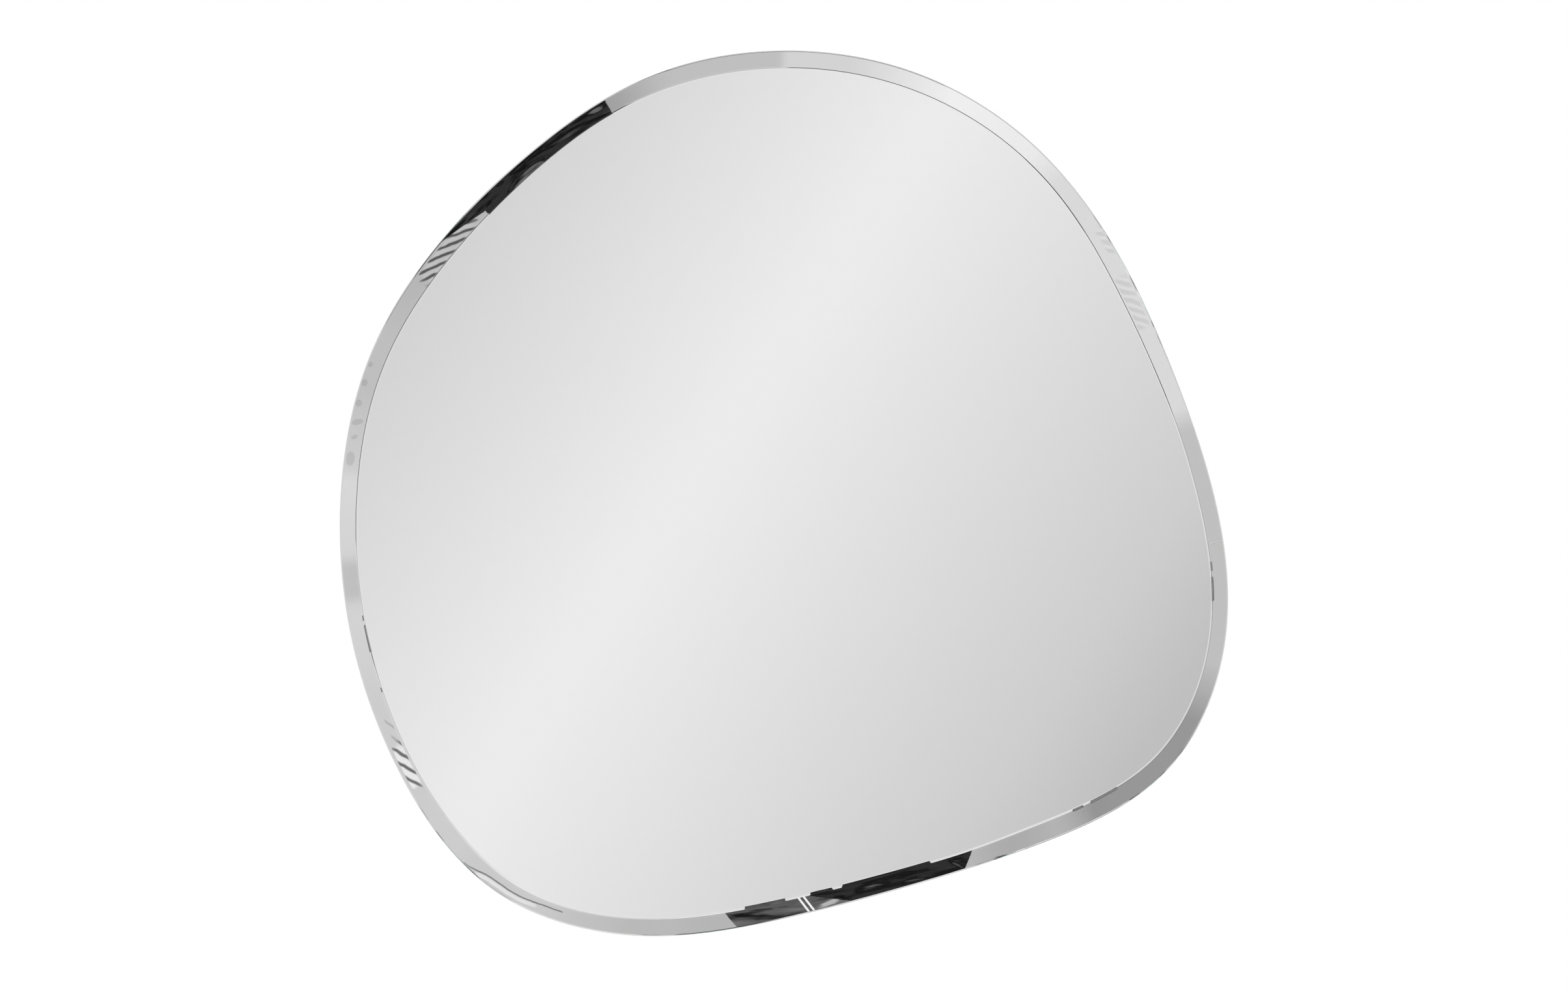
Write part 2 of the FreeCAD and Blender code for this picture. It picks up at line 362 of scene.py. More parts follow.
def glass_material(glass):
    """Clear glass. The marks of grinding tilt its normal a little on the bevel."""
    material, tree, surface = new_material("Clear Float Glass", {
        "Base Color": (1.0, 1.0, 1.0, 1), "Transmission Weight": 1.0, "IOR": 1.52,
    })
    edge_place = split(tree, stored_vector(tree, "edge_place"))
    outward, sideways = grinding_marks(tree, edge_place["X"], edge_place["Y"])
    geometry = put(tree, "ShaderNodeNewGeometry").outputs
    outwards = stored_vector(tree, "edge_outwards")
    along_edge = vector_calc(tree, "CROSS_PRODUCT", outwards, (0.0, 1.0, 0.0))
    tilt = vector_calc(tree, "ADD", scaled(tree, outwards, outward), scaled(tree, along_edge, sideways))
    # Light that leaves the glass meets the same surface from inside, where its normal is turned round
    side = times_plus(tree, geometry["Backfacing"], -2.0, 1.0)
    tilted = vector_calc(tree, "ADD", geometry["Normal"], scaled(tree, tilt, side))
    fill(tree, surface, {"Normal": vector_calc(tree, "NORMALIZE", tilted),
                         "Roughness": remap(tree, edge_place["Y"], 0.5, 0.1, 0.0, 0.14)})
    volume = put(tree, "ShaderNodeVolumeAbsorption",
                 {"Color": (*glass.tint, 1), "Density": glass.tint_density})
    fill(tree, tree.nodes["Material Output"], {"Volume": volume.outputs["Volume"]})
    return material


def silver_material(coatings):
    material, tree, surface = new_material("Silver Layer", {"Metallic": 1.0})
    place = own_place(tree)
    cloud = noise(tree, place, 3.0, detail=2)
    bright = tuple(coatings.silver)
    dull = tuple(part * 0.985 for part in bright)
    fill(tree, surface, {"Base Color": mix_colours(tree, cloud, dull, bright),
                         "Roughness": remap(tree, cloud, 0.3, 0.7, 0.0, 0.002)})
    return material


def board_material(board, group):
    """Fibreboard: smooth speckled faces, with darker and rougher sawn edges."""
    material, tree, surface = new_material("Fibreboard", {"Specular IOR Level": 0.3})
    faces = grained(tree, group, color=tuple(board.face), fleck_color=tuple(board.fibre),
                    fleck_share=0.42, scale=620.0, blotch=0.22, roughness=0.62, relief=0.25)
    place = own_place(tree)
    fibres = noise(tree, vector_calc(tree, "MULTIPLY", place, (150.0, 900.0, 420.0)), 1.0, detail=4,
                   roughness=0.7, distortion=0.6)
    threads = remap(tree, fibres, 0.52, 0.70, 0.0, 0.5)
    coloured = mix_colours(tree, threads, faces["Color"], tuple(board.fibre))
    facing = put(tree, "ShaderNodeNewGeometry").outputs["True Normal"]
    depth = calc(tree, "ABSOLUTE", split(tree, facing)["Y"])
    sawn = remap(tree, depth, 0.9, 0.5)
    edge_colour = tuple(0.72 * a + 0.1 * b for a, b in zip(board.face, board.fibre))
    layers = noise(tree, vector_calc(tree, "MULTIPLY", place, (60.0, 1500.0, 60.0)), 1.0, detail=3)
    edges = mix_colours(tree, remap(tree, layers, 0.35, 0.65), edge_colour, tuple(board.fibre))
    fill(tree, surface, {
        "Base Color": mix_colours(tree, times(tree, sawn, 0.75), coloured, edges),
        "Roughness": times_plus(tree, sawn, 0.2, faces["Roughness"]),
        "Normal": faces["Normal"],
    })
    return material


def steel_material(hardware):
    """Bright zinc plating: faint clouds of warmer tint and fine tumbling scratches."""
    material, tree, surface = new_material("Zinc Plated Steel", {"Metallic": 1.0})
    place = own_place(tree)
    cloud = noise(tree, place, 90.0, detail=3)
    scratch = noise(tree, vector_calc(tree, "MULTIPLY", place, (300.0, 300.0, 2600.0)), 1.0, detail=3)
    base = tuple(hardware.steel)
    warm = (base[0] * 0.98, base[1] * 0.94, base[2] * 0.84)
    tinted = mix_colours(tree, remap(tree, cloud, 0.42, 0.68, 0.0, 0.7), base, warm)
    bump = put(tree, "ShaderNodeBump", {"Strength": 0.25, "Distance": 0.00004, "Height": scratch})
    fill(tree, surface, {"Base Color": tinted, "Roughness": remap(tree, scratch, 0.3, 0.7, 0.2, 0.38),
                         "Normal": bump.outputs["Normal"]})
    return material


# ---------------------------------------------------------------- shape helpers

def add_object(name, data):
    item = bpy.data.objects.new(name, data)
    bpy.context.scene.collection.objects.link(item)
    return item


def curve_object(name, points, closed):
    """A helper curve: closed ones are smooth through control points, open ones are straight runs."""
    curve = bpy.data.curves.new(name, "CURVE")
    curve.dimensions = "3D"
    spline = curve.splines.new("NURBS" if closed else "POLY")
    spline.points.add(len(points) - 1)
    for point, place in zip(spline.points, points):
        point.co = (*place, 1)
    if closed:
        spline.use_cyclic_u = True
        spline.order_u = 4
        spline.resolution_u = 48
    return add_object(name, curve)


def control_points(points):
    """Control points of the closed cubic curve that runs through the given points."""
    count = len(points)
    weights = 4 * np.eye(count) + np.roll(np.eye(count), 1, 0) + np.roll(np.eye(count), -1, 0)
    return np.linalg.solve(weights / 6, points)


def spline_places(poles, samples):
    """Points along the closed cubic curve, evenly spread over its spans."""
    t = np.arange(samples)[:, None] / samples
    basis = ((1 - t) ** 3, 3 * t ** 3 - 6 * t ** 2 + 4, -3 * t ** 3 + 3 * t ** 2 + 3 * t + 1, t ** 3)
    spans = []
    for number in range(len(poles)):
        near = [poles[(number + step) % len(poles)] for step in (-1, 0, 1, 2)]
        spans.append(sum(weight * pole for weight, pole in zip(basis, near)) / 6)
    return np.concatenate(spans)


def outline_poles():
    """Control points of the glass's edge, fitted to the width and height of the glass.
    They begin one point early, because a closed curve starts at its second control point."""
    angles = np.arange(len(EDGE_RADII)) * 2 * math.pi / len(EDGE_RADII)
    radii = np.array(EDGE_RADII, float)
    poles = control_points(np.stack([radii * np.cos(angles), radii * np.sin(angles)], 1))
    drawn = spline_places(poles, 100)
    low, high = drawn.min(0), drawn.max(0)
    real_low = np.array([GLASS_LOW.x, GLASS_LOW.z])
    real_high = np.array([GLASS_HIGH.x, GLASS_HIGH.z])
    fitted = (poles - low) / (high - low) * (real_high - real_low) + real_low
    return np.roll(fitted, 1, axis=0)


def circle_poles(radius, count=16):
    """Control points of a circle about the origin, beginning one point early like the outline's."""
    angles = np.arange(count) * 2 * math.pi / count
    return np.roll(control_points(np.stack([np.cos(angles), np.sin(angles)], 1) * radius), 1, axis=0)


def set_input(modifier, name, value):
    for item in modifier.node_group.interface.items_tree:
        if item.in_out == "INPUT" and item.name == name:
            modifier[item.identifier] = value


def finished(carrier, name):
    """The plain mesh object that a carrier's modifiers make. The carrier is removed."""
    depsgraph = bpy.context.evaluated_depsgraph_get()
    mesh = bpy.data.meshes.new_from_object(carrier.evaluated_get(depsgraph), depsgraph=depsgraph)
    mesh.name = name
    bpy.data.objects.remove(carrier)
    return add_object(name, mesh)


# Width of the bevel in millimetres: as planned, at its widest, and as it came out round the edge
# to half a millimetre, as (share of the way round, width).
PLANNED_WIDTH = 18.0
WIDEST = 20.0
GROUND_WIDTHS = (
    (0.00, 17.0), (0.03, 16.5), (0.08, 19.0), (0.13, 17.0), (0.20, 18.0), (0.27, 18.0),
    (0.32, 16.5), (0.38, 18.5), (0.46, 17.0), (0.58, 17.0), (0.62, 18.5), (0.67, 17.0),
    (0.72, 18.5), (0.81, 17.5), (0.85, 20.0), (0.94, 16.5), (1.00, 17.0),
)

# What the grinding wheel left in the bevel. Places are in millimetres: along the edge from the
# right, anticlockwise, and across it from the outside. A tilt is in radians, outwards.
ARRIS_END = 1.2
BEVEL_MIDDLE = 9.0
RIDGE_START, RIDGE_END = 17.0, 19.0
RIDGE_BEND = 0.146
SWIRL_OUTWARD, SWIRL_SIDEWAYS = 0.062, 0.05
NICK_TILT = 0.060
DIMPLE_MIDDLE, DIMPLE_RADII = (993.0, 17.5, 0.0), (24.0, 6.0, 1.0)
# Facets: start, end, how far each leans along per millimetre across, tilt.
FACETS = (
    (884, 1052, 0, 0, 0.042),
    (1040, 1071, 0, -4.6, 0.042),
    (2101, 2209, -0.6, -2.6, 0.022),
    (2207, 2354, -2.6, 0.8, 0.042),
)
# Smears and spots: place along and across, half length, half width, lean, tilt.
SMEARS = (
    (897, 6, 13, 4.5, 1.2, -0.024),
    (940, 11, 30, 4, 3, -0.007),
    (1000, 5, 14, 4, 1.5, -0.012),
    (1022, 4, 8, 3, 1, -0.012),
    (1046, 12, 6, 4, -1, -0.010),
    (2204, 5, 16, 5.5, -2, -0.018),
    (2252, 10, 24, 5, -3, -0.007),
    (2290, 6, 14, 4, -2, -0.007),
    (2341, 8, 4, 8, 1, -0.018),
    (1254.5, 4, 4, 3.5, 0, 0.022),
    (1274.5, 4.5, 5, 4.5, 0, 0.026),
    (1296.5, 4.5, 5, 5, 0, 0.026),
    (1316, 8, 4.5, 8, 0.3, 0.026),
    (1332, 8, 3.5, 5, 0.3, 0.020),
    (1355, 7, 11, 7, 0, 0.018),
    (2388, 1.5, 8, 1.6, 5, 0.018),
)
# Stretches where a facet runs on over the ridge: start, end, how far across.
SPILLS = ((884, 1052, 18.5), (2118, 2160, 20.2), (2188, 2210, 20), (2222, 2315, 20.2))
# Nicks in the ridge: start, end, from, to (both across).
NICKS = (
    (1521, 1526, 16.4, 17.8), (1531, 1560, 16.4, 18.2), (1600, 1604, 16.8, 17.6),
    (2475, 2486, 16.6, 18.4), (2496, 2528, 16.4, 18.4), (2772, 2797, 16, 18),
    (2804, 2813, 16, 17.8),
)
# Chatter: start, end, spacing, lean, from, to (both across), tilt, a mark's share of the spacing.
CHATTER = (
    (188, 240, 10.5, 0.9, 4, 15, -0.011, 0.3),
    (270, 296, 10.5, 0.9, 2.5, 8, -0.011, 0.3),
    (1072.6, 1146, 16, -1.9, 4, 16.5, 0.022, 0.36),
    (1634.2, 1656, 17.6, 1.5, 9, 15, 0.010, 0.3),
    (1669.4, 1706, 17.6, 1.5, 4.5, 15, 0.022, 0.28),
)
# Hairlines: place along, lean, width, tilt.
HAIRLINES = (
    (2178, -0.45, 1.5, -0.075),
    (2183.5, -0.45, 1.5, -0.075),
    (2834, -0.1, 1.2, 0.100),
)


def centred(tree, value, amount):
    """A value that lies about a half, such as noise, spread about 0 by the amount."""
    return times(tree, minus(tree, value, 0.5), amount)


def facet_marks(tree, along, across, frayed_along, lean):
    """Tilts of the flat facets with the swirls on them, and a mask of where they are."""
    outward = 0.0
    ground = 0.0
    for start, end, start_lean, end_lean, tilt in FACETS:
        mask = window(tree, frayed_along, lean(start, start_lean), lean(end, end_lean), 0.9)
        ground = calc(tree, "MAXIMUM", ground, mask)
        outward = calc(tree, "MAXIMUM", outward, times(tree, mask, tilt))
    slanted = combine(tree, times_plus(tree, across, 4.5, along), times(tree, across, 5.0))
    swirl = put(tree, "ShaderNodeTexNoise", {"Vector": slanted, "Scale": 0.022, "Detail": 4.0,
                                             "Roughness": 0.5, "Distortion": 0.25})
    swirl = split(tree, swirl.outputs["Color"])
    outward = times_plus(tree, centred(tree, swirl["X"], SWIRL_OUTWARD), ground, outward)
    sideways = times(tree, centred(tree, swirl["Y"], SWIRL_SIDEWAYS), ground)
    return outward, sideways, ground


def smear_marks(tree, along, across, outward):
    for start, middle, half_length, half_width, slope, tilt in SMEARS:
        aside = minus(tree, across, middle)
        beyond = minus(tree, times_plus(tree, aside, slope, along), start)
        reach = vector_calc(tree, "LENGTH", combine(tree, calc(tree, "DIVIDE", beyond, half_length),
                                                    calc(tree, "DIVIDE", aside, half_width)))
        outward = times_plus(tree, remap(tree, reach, 1.0, 0.2), tilt, outward)
    return outward


def dimple_mark(tree, place, outward):
    """A shallow dimple with a faint ring round it, at the inner side of the first dark stretch."""
    away = vector_calc(tree, "SUBTRACT", place, DIMPLE_MIDDLE)
    away = vector_calc(tree, "LENGTH", vector_calc(tree, "DIVIDE", away, DIMPLE_RADII))
    outward = times_plus(tree, remap(tree, away, 1.0, 0.8), -0.018, outward)
    return times_plus(tree, window(tree, away, 1.18, 1.26, 0.07), -0.010, outward)


def chatter_marks(tree, along, across, waver, lean, ground, outward):
    unground = minus(tree, 1.0, ground)
    for start, end, spacing, slope, inner, outer, tilt, width in CHATTER:
        turn = minus(tree, plus(tree, along, waver), lean(start, slope))
        wave = calc(tree, "COSINE", times(tree, turn, 2 * math.pi / spacing))
        stroke = remap(tree, wave, 1 - 4 * width, 1.0, -0.5, 1.0)
        mask = times(tree, window(tree, along, start, end, spacing * 0.8),
                     window(tree, across, inner, outer, 1.6))
        mask = times(tree, mask, unground)
        outward = times_plus(tree, times(tree, stroke, mask), tilt, outward)
    return outward


def hairline_marks(tree, along, lean, outward):
    for start, slope, width, tilt in HAIRLINES:
        off = calc(tree, "ABSOLUTE", minus(tree, along, lean(start, slope)))
        outward = times_plus(tree, remap(tree, off, width, width * 0.4), tilt, outward)
    return outward


def groove_mark(tree, along, across, waver, outward):
    """A long uneven groove, from the outside to the middle of the bevel."""
    groove = plus(tree, remap(tree, along, 1803.0, 1838.0, 2.0, 9.0),
                  remap(tree, along, 1872.0, 1900.0, 0.0, 2.3))
    below = minus(tree, across, times_plus(tree, waver, 0.35, groove))
    crease = times(tree, window(tree, along, 1806.0, 1918.0, 6.0),
                   remap(tree, calc(tree, "ABSOLUTE", below), 1.2, 0.3))
    beside = times(tree, window(tree, along, 1822.0, 1890.0, 8.0),
                   window(tree, below, -5.0, -2.0, 1.2))
    outward = times_plus(tree, crease, 0.026, outward)
    return times_plus(tree, beside, -0.008, outward)


def grinding_marks(tree, along, across):
    """Outward and sideways tilt of the bevel's surface, from the place on it in millimetres."""
    off_middle = minus(tree, across, BEVEL_MIDDLE)
    place = combine(tree, along, across, 0.0)
    waver = centred(tree, noise(tree, scaled(tree, place, 0.09), 1.0, detail=1), 5.0)
    frayed = centred(tree, noise(tree, scaled(tree, place, 0.9), 1.0, detail=2), 3.0)
    frayed_along = plus(tree, along, frayed)

    def lean(start, slope):
        return times_plus(tree, off_middle, slope, start)

    outward, sideways, ground = facet_marks(tree, along, across, frayed_along, lean)
    outward = smear_marks(tree, along, across, outward)
    outward = dimple_mark(tree, place, outward)
    outward = chatter_marks(tree, along, across, waver, lean, ground, outward)
    outward = hairline_marks(tree, along, lean, outward)
    outward = groove_mark(tree, along, across, waver, outward)

    # The marks end at the arris and at the ridge. Where a facet runs on, it keeps its slope.
    over_ridge = remap(tree, across, RIDGE_START, RIDGE_END, 0.0, RIDGE_BEND, smooth=False)
    inner_end = RIDGE_START
    for start, end, far_end in SPILLS:
        spill = window(tree, frayed_along, start, end, 2.0)
        inner_end = times_plus(tree, spill, far_end - RIDGE_START, inner_end)
        outward = times_plus(tree, spill, over_ridge, outward)
    marked = window(tree, across, ARRIS_END, inner_end, 0.4)
    outward = times(tree, outward, marked)
    sideways = times(tree, sideways, marked)
    nick_tilt = plus(tree, over_ridge, NICK_TILT)
    for start, end, low, high in NICKS:
        nick = times(tree, window(tree, frayed_along, start, end, 1.0),
                     window(tree, across, low, high, 0.5))
        outward = times_plus(tree, nick, nick_tilt, outward)
    return outward, sideways


def shaded_flat(tree, geometry, selection, domain):
    return put(tree, "GeometryNodeSetShadeSmooth",
               {"Geometry": geometry, "Selection": selection, "Shade Smooth": False},
               domain=domain).outputs["Geometry"]


def edge_sweep_tree():
    """Sweeps a section round the outline. The section holds (inset, depth, share to the middle)."""
    tree = bpy.data.node_groups.new("Edge Sweep", "GeometryNodeTree")
    given, made = sockets(tree, [
        ("Outline", "NodeSocketObject", None),
        ("Section", "NodeSocketObject", None),
        ("Steps", "NodeSocketInt", 720),
        ("Unevenness", "NodeSocketFloat", 0.0),
        ("Front", "NodeSocketFloat", 0.0),
        ("Bevel Depth", "NodeSocketFloat", 0.0),
        ("Sharp Angle", "NodeSocketFloat", math.radians(15)),
        ("Material", "NodeSocketMaterial", None),
    ], [("Mesh", "NodeSocketGeometry")])
    outline = put(tree, "GeometryNodeObjectInfo", {"Object": given["Outline"]}).outputs["Geometry"]
    section = put(tree, "GeometryNodeObjectInfo", {"Object": given["Section"]}).outputs["Geometry"]
    places = put(tree, "GeometryNodeAttributeDomainSize", {"Geometry": section}, component="CURVE")
    columns = places.outputs["Point Count"]
    rows = plus(tree, given["Steps"], 1)
    grid = put(tree, "GeometryNodeMeshGrid", {"Vertices X": rows, "Vertices Y": columns}).outputs["Mesh"]
    index = put(tree, "GeometryNodeInputIndex").outputs["Index"]
    row = calc(tree, "FLOOR", calc(tree, "DIVIDE", plus(tree, index, 0.5), columns))
    column = minus(tree, index, times(tree, row, columns))
    round_share = calc(tree, "DIVIDE", row, given["Steps"])
    position = put(tree, "GeometryNodeInputPosition").outputs["Position"]
    picked = put(tree, "GeometryNodeSampleIndex", {"Geometry": section, "Value": position, "Index": column},
                 data_type="FLOAT_VECTOR", domain="POINT").outputs["Value"]
    picked = split(tree, picked)
    inset, depth, to_middle = picked["X"], picked["Y"], picked["Z"]
    edge = put(tree, "GeometryNodeSampleCurve", {"Curves": outline, "Factor": round_share}, mode="FACTOR")
    inwards = vector_calc(tree, "NORMALIZE", vector_calc(
        tree, "CROSS_PRODUCT", edge.outputs["Tangent"], (0.0, 1.0, 0.0)))
    ground_width = ramp(tree, round_share, [(place, width / WIDEST) for place, width in GROUND_WIDTHS],
                        "EASE")
    uneven = mix_values(tree, given["Unevenness"], 1.0,
                        times(tree, ground_width, WIDEST / PLANNED_WIDTH))
    ring = vector_calc(tree, "ADD", edge.outputs["Position"],
                       scaled(tree, inwards, times(tree, inset, uneven)))
    # A wider stretch of bevel is also deeper, so that its slope stays the same
    below_face = minus(tree, depth, given["Front"])
    sloped = calc(tree, "LESS_THAN", below_face, plus(tree, given["Bevel Depth"], 0.0001))
    stretched = times_plus(tree, below_face, uneven, given["Front"])
    depth = mix_values(tree, sloped, depth, stretched)
    stay = minus(tree, 1.0, to_middle)
    place = vector_calc(tree, "ADD", scaled(tree, ring, stay), combine(tree, 0.0, depth, 0.0))
    shaped = put(tree, "GeometryNodeSetPosition", {"Geometry": grid, "Position": place}).outputs["Geometry"]
    whole_length = put(tree, "GeometryNodeCurveLength", {"Curve": outline}).outputs["Length"]
    along = times(tree, round_share, whole_length)
    edge_place = scaled(tree, combine(tree, along, inset), 1000.0)
    for name, value in (("edge_place", edge_place), ("edge_outwards", scaled(tree, inwards, -1.0))):
        value = put(tree, "GeometryNodeFieldOnDomain", {"Value": value}, data_type="FLOAT_VECTOR",
                    domain="POINT").outputs["Value"]
        shaped = put(tree, "GeometryNodeStoreNamedAttribute",
                     {"Geometry": shaped, "Name": name, "Value": value},
                     data_type="FLOAT_VECTOR", domain="CORNER").outputs["Geometry"]
    cap = calc(tree, "GREATER_THAN", to_middle, 0.0)
    shaped = shaded_flat(tree, shaped, cap, "FACE")
    closed = put(tree, "GeometryNodeMergeByDistance", {"Geometry": shaped, "Distance": 1e-6})
    bend = put(tree, "GeometryNodeInputMeshEdgeAngle").outputs["Unsigned Angle"]
    sharp = calc(tree, "GREATER_THAN", bend, given["Sharp Angle"])
    closed = shaded_flat(tree, closed.outputs["Geometry"], sharp, "EDGE")
    real = put(tree, "GeometryNodeRealizeInstances", {"Geometry": closed}).outputs["Geometry"]
    painted = put(tree, "GeometryNodeSetMaterial", {"Geometry": real, "Material": given["Material"]})
    fill(tree, made, {"Mesh": painted.outputs["Geometry"]})
    return tree


def swept_plate(name, section, material, steps, poles=None, **options):
    """A closed plate from a section of (inset, y) points, back first. Its outline is a closed
    curve through the given control points, or else the outline of the glass."""
    low_inset, low_depth = section[0]
    high_inset, high_depth = section[-1]
    whole = [(low_inset, low_depth, 1.0)]
    whole += [(inset, depth, 0.0) for inset, depth in section]
    whole += [(high_inset, high_depth, 1.0)]
    poles = outline_poles() if poles is None else poles
    outline = curve_object(name + "_outline", [(x, 0.0, z) for x, z in poles], closed=True)
    profile = curve_object(name + "_section", whole, closed=False)
    carrier = add_object(name + "_carrier", bpy.data.meshes.new(name + "_carrier"))
    modifier = carrier.modifiers.new("Edge Sweep", "NODES")
    modifier.node_group = bpy.data.node_groups.get("Edge Sweep") or edge_sweep_tree()
    given = {"Outline": outline, "Section": profile, "Steps": steps, "Material": material}
    given.update((key.replace("_", " ").title(), value) for key, value in options.items())
    for key, value in given.items():
        set_input(modifier, key, value)
    piece = finished(carrier, name)
    for helper in (outline, profile):
        bpy.data.objects.remove(helper)
    point_outwards(piece)
    return piece


def point_outwards(piece):
    """Turns a closed mesh's faces outwards if its volume comes out negative."""
    shape = bmesh.new()
    shape.from_mesh(piece.data)
    if shape.calc_volume(signed=True) < 0:
        bmesh.ops.reverse_faces(shape, faces=shape.faces)
        shape.to_mesh(piece.data)
    shape.free()


# The point of the glass's section where the bevel starts.
BEVEL_POINT = 3


def bevel_section(glass):
    """Section of the glass from the middle of its back to the start of its face."""
    back, front = GLASS_HIGH.y, GLASS_LOW.y
    land = back - glass.edge_land
    arris = land - glass.arris_height
    slope = (arris - front) / (glass.bevel_width - glass.arris_width)
    half = glass.ridge_width / 2
    section = [
        (glass.back_arris, back),
        (0.0, back - glass.back_arris),
        (0.0, land),
        (glass.arris_width, arris),
    ]
    run = glass.bevel_width - half - glass.arris_width
    # A narrow strip at each end keeps the shading of the slope flat
    for part in (0.01, 0.25, 0.5, 0.75, 0.99, 1.0):
        section.append((glass.arris_width + run * part, arris - slope * run * part))
    ridge_faces = 5
    for number in range(1, ridge_faces + 1):
        part = number / ridge_faces
        across = glass.bevel_width - half + part * glass.ridge_width
        section.append((across, front + slope * half * (1 - part) ** 2))
    section.append((glass.bevel_width + glass.face_border, front))
    return section


def coat(piece, material):
    piece.data.materials.clear()
    piece.data.materials.append(material)


def place_piece(piece, slot, *nodes):
    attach(piece, body_of(frame["nodes"][nodes[0]])[0])
    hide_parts(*nodes)


def pad_section(hardware, low, high):
    """Section of a bumper pad from the middle of its wall side to the foot that is glued down."""
    section = []
    rim_faces = 6
    for number in range(rim_faces + 1):
        angle = math.radians(90 * number / rim_faces)
        section.append((hardware.pad_taper + hardware.pad_rim * (1 - math.sin(angle)),
                        high - hardware.pad_rim * (1 - math.cos(angle))))
    section.append((0.0, low + hardware.pad_foot))
    section.append((hardware.pad_foot, low))
    return section


# Between the faces of a steel part: flat enough to join, sharp enough to shade apart and to break.
FLAT_ANGLE = math.radians(0.6)
CREASE_ANGLE = math.radians(35)
BROKEN_ANGLE = math.radians(40)


def softened_copy(node, rounding):
    """A copy of a steel part with joined faces, broken edges and smooth curves."""
    mesh = frame["nodes"][node].data.copy()
    shape = bmesh.new()
    shape.from_mesh(mesh)
    bmesh.ops.remove_doubles(shape, verts=shape.verts, dist=1e-6)
    bmesh.ops.dissolve_limit(shape, angle_limit=FLAT_ANGLE, verts=shape.verts, edges=shape.edges)
    shape.to_mesh(mesh)
    shape.free()
    mesh.polygons.foreach_set("use_smooth", [True] * len(mesh.polygons))
    mesh.set_sharp_from_angle(angle=CREASE_ANGLE)
    carrier = add_object(node + "_carrier", mesh)
    if rounding:
        bevel = carrier.modifiers.new("Broken Edges", "BEVEL")
        bevel.width = rounding
        bevel.segments = 2
        bevel.limit_method = "ANGLE"
        bevel.angle_limit = BROKEN_ANGLE
        bevel.harden_normals = True
    return finished(carrier, node + "_finished")


# ---------------------------------------------------------------- operators

class MIRROR_OT_glass(bpy.types.Operator):
    """Builds the sheet of glass with its bevelled and polished edge"""
    bl_idname = "wall_mirror.glass"
    bl_label = "Bevelled Glass"

    def execute(self, context):
        glass = context.scene.mirror_glass
        section = bevel_section(glass)
        piece = swept_plate("bevelled_glass_sheet", section, glass_material(glass), glass.steps,
                            unevenness=glass.unevenness, front=GLASS_LOW.y,
                            bevel_depth=section[BEVEL_POINT][1] - GLASS_LOW.y)
        place_piece(piece, "glass", "bevelled_glass")
        return {"FINISHED"}


class MIRROR_OT_coatings(bpy.types.Operator):
    """Builds the silver layer and the lacquer over it"""
    bl_idname = "wall_mirror.coatings"
    bl_label = "Silver and Lacquer"

    def execute(self, context):
        coatings = context.scene.mirror_coatings
        steps = context.scene.mirror_glass.steps // 3
        silver = swept_plate("silver_layer", [(coatings.inset, SILVER_HIGH.y - coatings.air / 2),
                                              (coatings.inset, SILVER_LOW.y + coatings.air)],
                             silver_material(coatings), steps)
        place_piece(silver, "silver", "silver_coating")
        lacquer = grain_material("Back Lacquer", grain_node_group(), {"Specular IOR Level": 0.45},
                                 color=tuple(coatings.paint),
                                 fleck_color=tuple(part * 0.8 for part in coatings.paint),
                                 fleck_share=0.3, scale=260.0, blotch=0.25, roughness=0.46, relief=0.35)
        paint = swept_plate("back_lacquer", [(coatings.inset, PAINT_HIGH.y), (coatings.inset, PAINT_LOW.y)],
                            lacquer, steps)
        place_piece(paint, "back_paint", "protective_paint")
        return {"FINISHED"}


class MIRROR_OT_board(bpy.types.Operator):
    """Builds the fibreboard behind the glass"""
    bl_idname = "wall_mirror.board"
    bl_label = "Backing Board"

    def execute(self, context):
        board = context.scene.mirror_board
        section = [
            (board.inset + board.chamfer, BOARD_HIGH.y),
            (board.inset, BOARD_HIGH.y - board.chamfer),
            (board.inset, BOARD_LOW.y),
        ]
        piece = swept_plate("fibreboard_back", section, board_material(board, grain_node_group()),
                            context.scene.mirror_glass.steps // 4)
        place_piece(piece, "fibreboard", "backing_board")
        return {"FINISHED"}


class MIRROR_OT_bond(bpy.types.Operator):
    """Finishes the foam tape, the adhesive dabs and the pads' glue discs"""
    bl_idname = "wall_mirror.bond"
    bl_label = "Tape and Adhesive"

    def execute(self, context):
        group = grain_node_group()
        finishes = {
            "foam_tape": ("Foam Tape", (0.82, 0.82, 0.80), (0.66, 0.66, 0.65), 900.0, 0.75),
            "adhesive_dabs": ("Mirror Adhesive", (0.74, 0.73, 0.67), (0.62, 0.60, 0.53), 160.0, 0.42),
            "bumper_glue_discs": ("Pad Glue", (0.80, 0.80, 0.76), (0.70, 0.70, 0.66), 500.0, 0.35),
        }
        for node, (name, base, fleck, scale, rough) in finishes.items():
            material = grain_material(name, group, color=base, fleck_color=fleck, fleck_share=0.35,
                                      scale=scale, blotch=0.1, roughness=rough, relief=0.4)
            coat(frame["nodes"][node], material)
        return {"FINISHED"}


